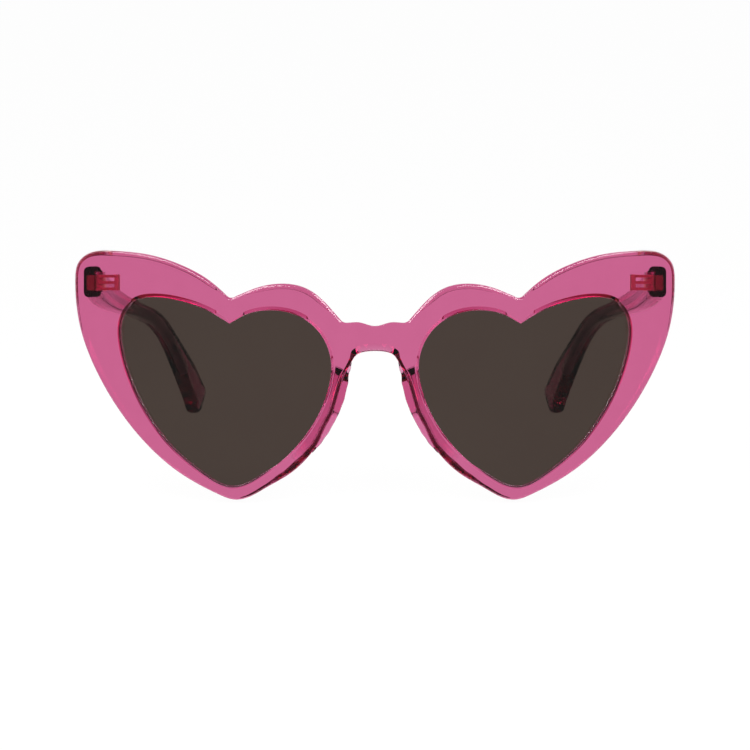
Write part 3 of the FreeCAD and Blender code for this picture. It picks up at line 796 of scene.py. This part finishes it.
def acetate(name, rough, scale):
    return see_through(name, rough, scale, ACETATE_INDEX, ACETATE_DYE, ACETATE_DENSITY, ACETATE_WAVE)


def lens_tint(name, rough, scale):
    return see_through(name, rough, scale, LENS_INDEX, LENS_DYE, LENS_DENSITY, LENS_WAVE)


def metal(name, colour, rough):
    made, tree, out = material(name)
    skin = add(tree, "ShaderNodeBsdfPrincipled")
    skin.inputs["Metallic"].default_value = 1.0
    grain = noise(tree, METAL_GRAIN, METAL_DETAIL, METAL_STRETCH)
    shade = tuple(METAL_SHADE * part for part in colour)
    link(tree, ramp(tree, grain, [shade, colour]), skin.inputs["Base Color"])
    link(tree, ranged(tree, grain, *rough), skin.inputs["Roughness"])
    link(tree, bump(tree, grain, METAL_BUMP), skin.inputs["Normal"])
    link(tree, skin.outputs["BSDF"], out.inputs["Surface"])
    return made


def dress(held, made):
    held.data.materials.clear()
    held.data.materials.append(made)


front_look = acetate("front_acetate_look", (0.0, 0.05), 220.0)
pad_look = acetate("pad_acetate_look", (0.0, 0.06), 300.0)
temple_look = acetate("temple_acetate_look", (0.0, 0.05), 180.0)
lens_look = lens_tint("lens_tint_look", (0.0, 0.03), 60.0)
butt_look = acetate("temple_butt_look", (0.08, 0.16), 180.0)
hinge_look = metal("hinge_metal_look", (0.95, 0.74, 0.54), (0.55, 0.75))
screw_look = metal("screw_metal_look", (0.82, 0.80, 0.76), (0.15, 0.3))
wire_look = metal("wire_metal_look", (0.6, 0.57, 0.5), (0.25, 0.45))

dress(front, front_look)
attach(front, "front")
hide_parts("front_frame")
for side in MIRROR:
    for held, made, body, node, slot in (
        (lenses[side], lens_look, "front", "lens_" + side, "lens_tint"),
        (pads[side], pad_look, "front", "nose_pad_" + side, "pad_acetate"),
        (temples[side], temple_look, side + "_temple", "temple_" + side, "temple_acetate"),
    ):
        dress(held, made)
        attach(held, body)
        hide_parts(node)
    temples[side].data.materials.append(butt_look)
    for face in temples[side].data.polygons:
        if on_butt(face.center):
            face.material_index = 1
    dress(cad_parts["core_wire_" + side], wire_look)
    dress(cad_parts["front_hinge_" + side], hinge_look)
    dress(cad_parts["temple_hinge_" + side], hinge_look)
    dress(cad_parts["hinge_screw_" + side], screw_look)

# Floor, which is seen as nearly white and still takes the shadow. From here on in metres.
FLOOR_SIZE = 12.0
FLOOR_DROP = 0.0002
FLOOR_SEEN = 0.97
FLOOR_IN_GLOSS = 0.4
FLOOR_COLOUR = (0.9, 0.9, 0.9, 1.0)
WHITE = (1.0, 1.0, 1.0, 1.0)

floor_look, tree, out = material("floor_look")
path = add(tree, "ShaderNodeLightPath")
seen = combined(tree, "MAXIMUM", path.outputs["Is Camera Ray"], path.outputs["Is Transmission Ray"])
gloss = combined(tree, "MULTIPLY", path.outputs["Is Glossy Ray"], FLOOR_IN_GLOSS)
share = combined(tree, "MULTIPLY", combined(tree, "MAXIMUM", seen, gloss), FLOOR_SEEN)
plain = add(tree, "ShaderNodeBsdfDiffuse")
plain.inputs["Color"].default_value = FLOOR_COLOUR
glow = add(tree, "ShaderNodeEmission")
glow.inputs["Color"].default_value = WHITE
mix = add(tree, "ShaderNodeMixShader")
link(tree, share, mix.inputs[0])
link(tree, plain.outputs[0], mix.inputs[1])
link(tree, glow.outputs[0], mix.inputs[2])
link(tree, mix.outputs[0], out.inputs["Surface"])

bpy.ops.mesh.primitive_plane_add(size=FLOOR_SIZE, location=(0, 0, -FLOOR_DROP))
floor = bpy.context.object
floor.name = "floor"
dress(floor, floor_look)

# World: white to the camera, and to the object white behind it and dim at its sides and in front.
WORLD_TURN = (0.1, 0.4)
WORLD_LEVEL = (0.2, 1.0)

world = bpy.data.worlds.new("studio")
scene.world = world
world.use_nodes = True
tree = world.node_tree
tree.nodes.clear()
out = add(tree, "ShaderNodeOutputWorld")
path = add(tree, "ShaderNodeLightPath")
where = add(tree, "ShaderNodeTexCoord")
split = add(tree, "ShaderNodeSeparateXYZ")
link(tree, where.outputs["Generated"], split.inputs["Vector"])
spread = add(tree, "ShaderNodeMapRange")
spread.inputs["From Min"].default_value, spread.inputs["From Max"].default_value = WORLD_TURN
spread.inputs["To Min"].default_value, spread.inputs["To Max"].default_value = WORLD_LEVEL
link(tree, split.outputs["Y"], spread.inputs["Value"])
level = combined(tree, "MAXIMUM", spread.outputs["Result"], path.outputs["Is Camera Ray"])
back = add(tree, "ShaderNodeBackground")
back.inputs["Color"].default_value = WHITE
link(tree, level, back.inputs["Strength"])
link(tree, back.outputs[0], out.inputs["Surface"])

# Lamps, in pairs: soft boxes by place, size and power, and a long strip between two places of the
# front's frame, in millimetres.
LAMP_AIM = Vector((0, -0.04, 0.03))
BOXES = [("top", (0.55, -0.7, 0.7), (0.6, 0.7), 4.0), ("box", (1.0, -0.45, 0.5), (0.8, 1.0), 4.0)]
STRIP_LOW = (77, -320, 120)
STRIP_HIGH = (190, -12, 294)
STRIP_WIDTH = 0.08
STRIP_POWER = 0.6
LAMP_SIDES = {"left": (-1, 1, 1), "right": (1, 1, 1)}


def lamp(name, place, turn, size, power):
    light = bpy.data.lights.new(name, "AREA")
    light.shape = "RECTANGLE"
    light.size, light.size_y = size
    light.energy = power
    held = bpy.data.objects.new(name, light)
    held.location = place
    held.rotation_euler = turn
    scene.collection.objects.link(held)


def box_lamp(name, place, size, power):
    lamp(name, place, (LAMP_AIM - place).to_track_quat("-Z", "Y").to_euler(), size, power)


def strip_lamp(name, ends):
    """Long lamp between two places of the front's frame, turned to the front's middle."""
    low, high, aim = (Vector(spot) for spot in placed([*ends, (0, 0, 0)]))
    tall = (high - low).normalized()
    middle = (low + high) / 2
    away = middle - aim
    face = (away - away.dot(tall) * tall).normalized()
    turn = Matrix((tall.cross(face), tall, face)).transposed().to_euler()
    lamp(name, middle, turn, (STRIP_WIDTH, (high - low).length), STRIP_POWER)


for kind, place, size, power in BOXES:
    for side, mirror in LAMP_SIDES.items():
        box_lamp(side + "_" + kind, Vector(np.multiply(place, mirror)), size, power)
for side, mirror in LAMP_SIDES.items():
    strip_lamp(side + "_strip", np.multiply([STRIP_LOW, STRIP_HIGH], mirror))

# Camera, straight ahead of the front's middle.
CAMERA_AWAY = 800.0
CAMERA_LENS = 158.46
CAMERA_SENSOR = 36.0
CAMERA_CLIP = 0.01

camera = bpy.data.objects.new("camera", bpy.data.cameras.new("camera"))
camera.data.sensor_width = CAMERA_SENSOR
camera.data.lens = CAMERA_LENS
camera.data.clip_start = CAMERA_CLIP
camera.location = placed([(0.0, -CAMERA_AWAY, 0.0)])[0]
camera.rotation_euler = (math.radians(90) - LEAN, 0, 0)
scene.collection.objects.link(camera)
scene.camera = camera
